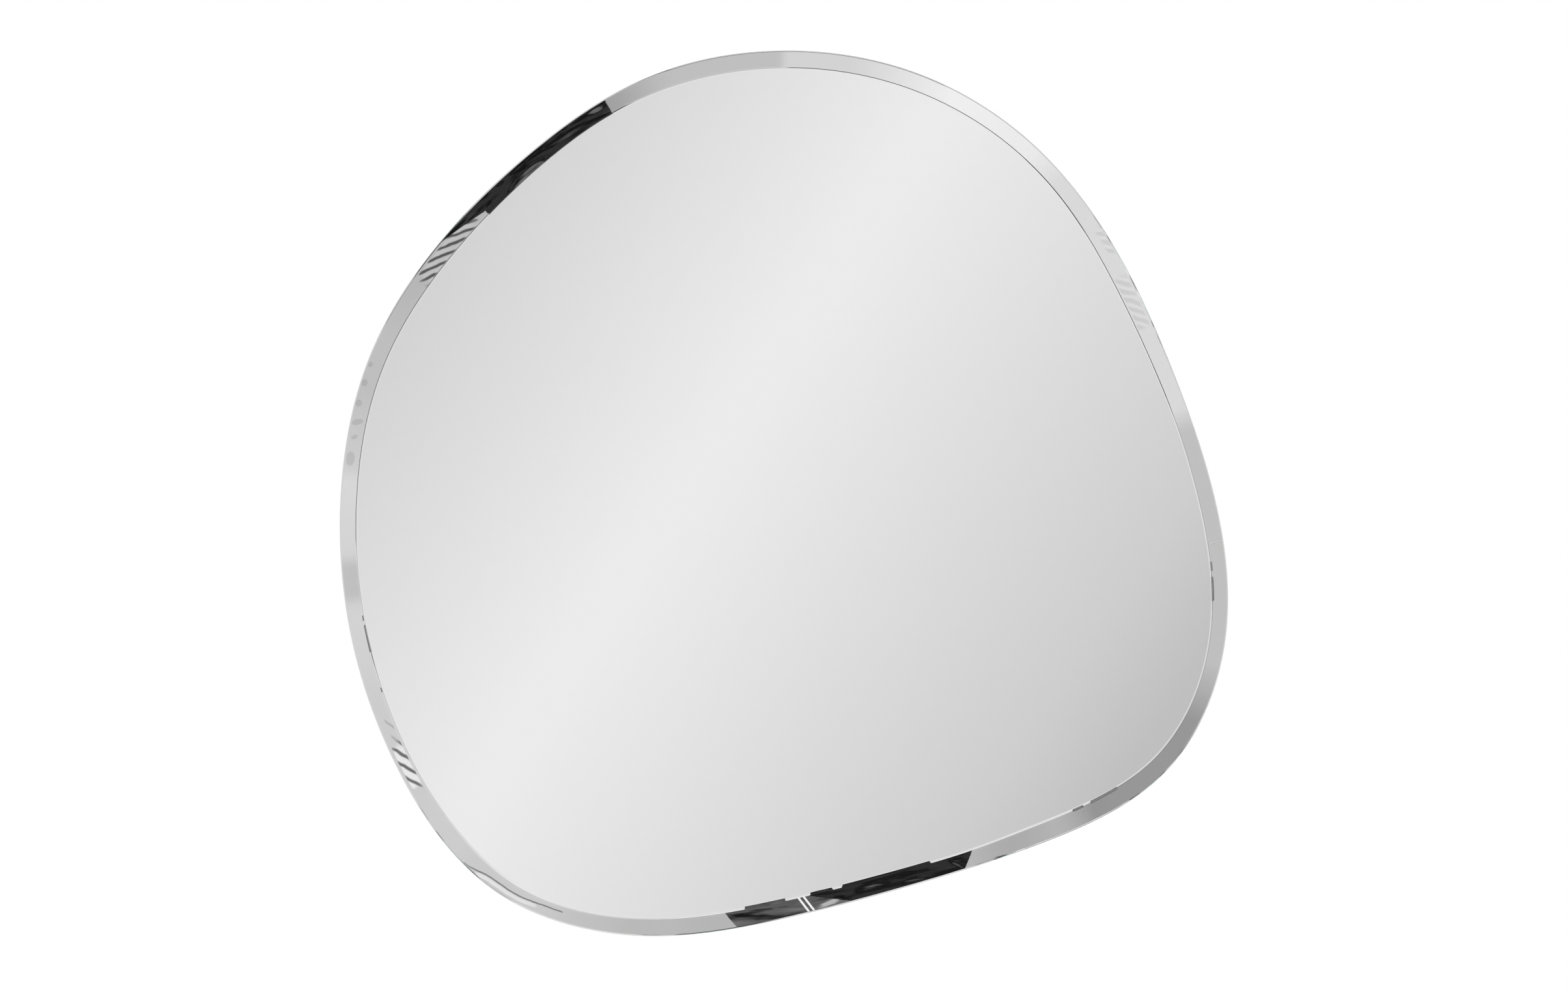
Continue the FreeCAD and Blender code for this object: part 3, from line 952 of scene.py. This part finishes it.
class MIRROR_OT_bumpers(bpy.types.Operator):
    """Builds the four rubber pads that keep the mirror off the wall"""
    bl_idname = "wall_mirror.bumpers"
    bl_label = "Bumper Pads"

    def execute(self, context):
        hardware = context.scene.mirror_hardware
        rubber = grain_material("Moulded Rubber", grain_node_group(), {"Specular IOR Level": 0.4},
                                color=tuple(hardware.rubber),
                                fleck_color=tuple(part * 2.2 for part in hardware.rubber),
                                fleck_share=0.25, scale=1400.0, blotch=0.3, roughness=0.58, relief=0.3)
        for corner in ("upper_right", "upper_left", "lower_left", "lower_right"):
            node = "bumper_" + corner
            low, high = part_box(node)
            middle = (low + high) / 2
            piece = swept_plate(node + "_finished", pad_section(hardware, low.y, high.y), rubber,
                                hardware.pad_steps, poles=circle_poles((high.x - low.x) / 2))
            piece.data.transform(Matrix.Translation((middle.x, 0.0, middle.z)))
            place_piece(piece, "rubber", node)
        return {"FINISHED"}


class MIRROR_OT_hangers(bpy.types.Operator):
    """Finishes the straps, the rings and the screws that hang the mirror"""
    bl_idname = "wall_mirror.hangers"
    bl_label = "Ring Hangers"

    def execute(self, context):
        hardware = context.scene.mirror_hardware
        steel = steel_material(hardware)
        for side in ("left", "right"):
            for part, rounding in (("strap", hardware.rounding), ("ring", 0.0),
                                   ("screws", hardware.rounding)):
                node = f"{side}_hanger_{part}"
                piece = softened_copy(node, rounding)
                coat(piece, steel)
                place_piece(piece, "zinc_steel", node)
        return {"FINISHED"}


class MIRROR_OT_studio(bpy.types.Operator):
    """Sets up the floor, the light and the camera"""
    bl_idname = "wall_mirror.studio"
    bl_label = "Studio"

    def execute(self, context):
        studio = context.scene.mirror_studio
        context.scene.world = studio_world(studio)
        pale_floor(studio)
        soft_light("key_light", KEY_PLACE, studio.key_power)
        soft_light("fill_light", FILL_PLACE, studio.fill_power)
        picture_camera(studio)
        return {"FINISHED"}


# ---------------------------------------------------------------- studio

# The studio in front of the mirror, as slopes away from straight ahead. The face shows what is
# ahead. The bevel, which bends its view by RING, shows a ring of pale cards. Their brightness is by
# the direction that the edge faces, in degrees from the right, anticlockwise.
RING = 0.120
STREAK_END = (0.082, 0.100)
ROOM_START = (RING + 0.070, RING + 0.085)
# A black band that only the nicks show, and a lamp that only the hairlines below show.
NICK_SLOPES = (RING + 0.055, RING + 0.070)
LAMP_SLOPES, LAMP_TURNS = (0.062, 0.092), (281 / 360, 291 / 360)
CARDS = (
    (0, 0.55), (22, 0.55), (22.1, 0.75), (38, 0.75), (45, 0.90), (62, 0.95), (80, 0.70), (90, 0.70),
    (90.1, 0.55), (110, 0.55), (122, 0.40), (130, 0.55), (162, 0.55), (173, 0.65), (173.1, 0.75),
    (182.5, 0.70), (182.6, 0.55), (186, 0.55), (186.1, 0.70), (210, 0.65), (250, 0.65), (272, 0.50),
    (287, 0.55), (291, 0.30), (332, 0.30), (350, 0.55), (360, 0.55),
)
# Dark studio outside the ring of cards: (direction, how dark it is).
DARK_STUDIO = (
    (0, 0), (112, 0), (119, 1), (146, 1), (153, 0), (194, 0), (198, 1), (208, 1), (213, 0),
    (221, 0), (226, 0.8), (256, 0.8), (262, 0), (274, 0), (279, 1), (289, 1), (294, 0),
)
# Dark studio farther out, which the outside of the glass shows faintly over the dark stretches.
DARK_FAR = ((0, 0), (88, 0), (96, 1), (114, 1), (122, 0), (286, 0), (296, 1), (326, 1), (334, 0))
FAR_SLOPES, FARTHER_SLOPES = (0.275, 0.48), (0.60, 1.30)
# Dark studio between the streak and the ring, which draws the line along the bevel's inner edge:
# (direction, slope at which it starts).
DARK_GAP = (
    (0, 0.075), (4.5, 0.05), (10.5, 0.085), (22.6, 0.050), (26, 0.036), (42, 0.045), (89, 0.096),
    (119, 0.036), (135, 0.07), (180, 0.11), (188.8, 0.05), (192, 0.11), (289, 0.075),
)
# The two soft lights, in metres.
KEY_PLACE, FILL_PLACE = (-2.4, -3.6, 2.8), (2.2, 3.4, 2.0)
LIGHT_SIZE = 2.5
# The soft bright streak that the face shows: (offset across it, brightness).
STREAK_TILT = math.radians(34)
STREAK = (
    (-0.060, 0.66), (-0.034, 0.68), (-0.027, 0.74), (-0.008, 0.90), (-0.005, 0.90), (0.026, 0.66),
    (0.034, 0.56), (0.060, 0.55),
)


def around(tree, turn, stops, between="LINEAR"):
    """A value by the direction that the edge faces, from (degrees, value) stops."""
    return ramp(tree, turn, [(degrees / 360, level) for degrees, level in stops], between)


def face_streak(tree, across, up):
    offset = minus(tree, times(tree, across, math.cos(STREAK_TILT)), times(tree, up, math.sin(STREAK_TILT)))
    reach = STREAK[-1][0]
    return ramp(tree, remap(tree, offset, -reach, reach, smooth=False),
                [((place + reach) / (2 * reach), level) for place, level in STREAK])


def card_ring(tree, across, up, slope, turn, unlit):
    """The cards, brighter inside the ring, dimmer outside it and unlit beyond in some directions."""
    shade = remap(tree, slope, RING - 0.005, RING - 0.011, 1.0, 1.4)
    shade = times(tree, shade, remap(tree, slope, RING + 0.007, RING + 0.015, 1.0, 0.82))
    cards = times(tree, around(tree, turn, CARDS), shade)
    tangle = noise(tree, combine(tree, across, up, 0.0), 60.0, distortion=0.5)
    deep = plus(tree, remap(tree, slope, RING + 0.018, RING + 0.044, 0.18, 0.006),
                remap(tree, tangle, 0.48, 0.66, 0.0, 0.04))
    dark = times(tree, unlit, remap(tree, slope, RING + 0.010, RING + 0.020))
    return mix_values(tree, dark, cards, deep)


def wide_room(tree, ray, height, slope, turn, unlit):
    """The room beyond the cards. Light that bounces once more inside the glass comes from the
    farther of its two dark stretches."""
    room = plus(tree, remap(tree, height, -0.8, 0.9, 0.58, 0.92),
                centred(tree, noise(tree, ray, 1.6, detail=1), 0.35))
    far = times(tree, around(tree, turn, DARK_FAR), window(tree, slope, *FAR_SLOPES, 0.015))
    farther = times(tree, unlit, window(tree, slope, *FARTHER_SLOPES, 0.06))
    return mix_values(tree, calc(tree, "MAXIMUM", far, farther), room, 0.03)


def what_the_mirror_faces(tree, ray):
    """Brightness of the studio in front of the mirror, by direction."""
    direction = split(tree, ray)
    ahead = calc(tree, "MAXIMUM", times(tree, direction["Y"], -1.0), 0.03)
    across = calc(tree, "DIVIDE", direction["X"], ahead)
    up = calc(tree, "DIVIDE", direction["Z"], ahead)
    slope = calc(tree, "SQRT", plus(tree, times(tree, across, across), times(tree, up, up)))
    turn = calc(tree, "ARCTAN2", times(tree, up, -1.0), times(tree, across, -1.0))
    turn = calc(tree, "FRACT", plus(tree, calc(tree, "DIVIDE", turn, 2 * math.pi), 1.0))
    unlit = around(tree, turn, DARK_STUDIO)

    near = mix_values(tree, remap(tree, slope, *STREAK_END), face_streak(tree, across, up),
                      card_ring(tree, across, up, slope, turn, unlit))
    lamp = times(tree, window(tree, slope, *LAMP_SLOPES, 0.006), window(tree, turn, *LAMP_TURNS, 1 / 360))
    near = mix_values(tree, lamp, near, 1.0)
    gap_start = around(tree, turn, DARK_GAP, "CONSTANT")
    gap = times(tree, remap(tree, slope, gap_start, plus(tree, gap_start, 0.003)),
                remap(tree, slope, RING - 0.012, RING - 0.018))
    near = mix_values(tree, gap, near, 0.02)
    near = mix_values(tree, window(tree, slope, *NICK_SLOPES, 0.006), near, 0.03)
    room = wide_room(tree, ray, direction["Z"], slope, turn, unlit)
    return mix_values(tree, remap(tree, slope, *ROOM_START), near, room)


def sharp_rays(tree):
    """1 for what shows: seen by the camera, reflected in gloss or seen through glass."""
    path = put(tree, "ShaderNodeLightPath").outputs
    return calc(tree, "MAXIMUM", path["Is Camera Ray"],
                calc(tree, "MAXIMUM", path["Is Glossy Ray"], path["Is Transmission Ray"]))


def studio_world(studio):
    """White behind the mirror, plain light on everything, and a soft studio for the glass to show."""
    world = bpy.data.worlds.new("Pale Studio")
    world.use_nodes = True
    tree = world.node_tree
    tree.nodes.clear()
    ray = put(tree, "ShaderNodeTexCoord").outputs["Generated"]
    in_front = remap(tree, split(tree, ray)["Y"], 0.05, -0.05)
    reflected = minus(tree, 1.0, put(tree, "ShaderNodeLightPath").outputs["Is Camera Ray"])
    shown = mix_values(tree, times(tree, in_front, reflected), 1.0, what_the_mirror_faces(tree, ray))
    strength = mix_values(tree, sharp_rays(tree), studio.ambient, shown)
    background = put(tree, "ShaderNodeBackground", {"Color": (1, 1, 1, 1), "Strength": strength})
    put(tree, "ShaderNodeOutputWorld", {"Surface": background.outputs["Background"]})
    return world


def pale_floor(studio):
    """A round pale floor whose rim fades away before the background."""
    mesh = bpy.data.meshes.new("floor")
    shape = bmesh.new()
    bmesh.ops.create_circle(shape, cap_ends=True, segments=96, radius=studio.floor_radius,
                            matrix=Matrix.Translation((0, 0, -studio.floor_drop)))
    shape.to_mesh(mesh)
    shape.free()
    floor = add_object("floor", mesh)
    material, tree, surface = new_material("Pale Floor", {"Roughness": 0.7, "Specular IOR Level": 0.2})
    place = own_place(tree)
    mottle = noise(tree, place, 3.0, detail=5, roughness=0.6)
    fill(tree, surface, {"Base Color": mix_colours(tree, mottle, (0.90, 0.90, 0.90), (0.94, 0.94, 0.94))})
    away = vector_calc(tree, "LENGTH", vector_calc(tree, "MULTIPLY", place, (1.0, 1.0, 0.0)))
    fade = remap(tree, away, studio.floor_radius * 0.25, studio.floor_radius * 0.6)
    clear = put(tree, "ShaderNodeBsdfTransparent")
    both = put(tree, "ShaderNodeMixShader", {0: times(tree, fade, sharp_rays(tree)),
                                             1: surface.outputs["BSDF"], 2: clear.outputs["BSDF"]})
    fill(tree, tree.nodes["Material Output"], {"Surface": both.outputs["Shader"]})
    floor.data.materials.append(material)


def soft_light(name, place, power):
    light = bpy.data.lights.new(name, "AREA")
    light.energy = power
    light.size = LIGHT_SIZE
    lamp = add_object(name, light)
    lamp.location = place
    lamp.rotation_euler = (-Vector(place)).to_track_quat("-Z", "Y").to_euler()
    lamp.visible_camera = lamp.visible_glossy = lamp.visible_transmission = False


def picture_camera(studio):
    """Looks square at the mirror from far enough to take in the picture's width."""
    lens = bpy.data.cameras.new("picture_camera")
    lens.lens = studio.lens
    lens.sensor_width = 36.0
    camera = add_object("picture_camera", lens)
    away = studio.picture_width * studio.lens / lens.sensor_width
    camera.location = (studio.aim_across, GLASS_LOW.y - away, studio.aim_up)
    camera.rotation_euler = (math.radians(90), 0, 0)
    lens.clip_end = 100
    bpy.context.scene.camera = camera
    bpy.context.scene.view_settings.view_transform = "Standard"


def grain_node_group():
    return bpy.data.node_groups.get("Fine Grain") or grain_group()


# ---------------------------------------------------------------- panel and registration

class MIRROR_PT_panel(bpy.types.Panel):
    """Lists the steps that build the mirror and the sizes and colours they use"""
    bl_idname = "MIRROR_PT_panel"
    bl_label = "Wall Mirror"
    bl_space_type = "VIEW_3D"
    bl_region_type = "UI"
    bl_category = "Wall Mirror"

    def draw(self, context):
        for step in STEPS:
            self.layout.operator(step.bl_idname)
        for name, group in SETTINGS.items():
            box = self.layout.box()
            box.label(text=group.__name__.replace("Settings", ""))
            for prop in group.__annotations__:
                box.prop(getattr(context.scene, name), prop)


STEPS = (
    MIRROR_OT_glass, MIRROR_OT_coatings, MIRROR_OT_board, MIRROR_OT_bond,
    MIRROR_OT_bumpers, MIRROR_OT_hangers, MIRROR_OT_studio,
)


def register():
    for group in SETTINGS.values():
        bpy.utils.register_class(group)
    for step in STEPS:
        bpy.utils.register_class(step)
    bpy.utils.register_class(MIRROR_PT_panel)
    for name, group in SETTINGS.items():
        setattr(bpy.types.Scene, name, PointerProperty(type=group))


def unregister():
    for name in SETTINGS:
        delattr(bpy.types.Scene, name)
    bpy.utils.unregister_class(MIRROR_PT_panel)
    for step in reversed(STEPS):
        bpy.utils.unregister_class(step)
    for group in reversed(SETTINGS.values()):
        bpy.utils.unregister_class(group)


def main():
    register()
    for step in STEPS:
        area, name = step.bl_idname.split(".")
        getattr(getattr(bpy.ops, area), name)()


if __name__ == "__main__":
    main()
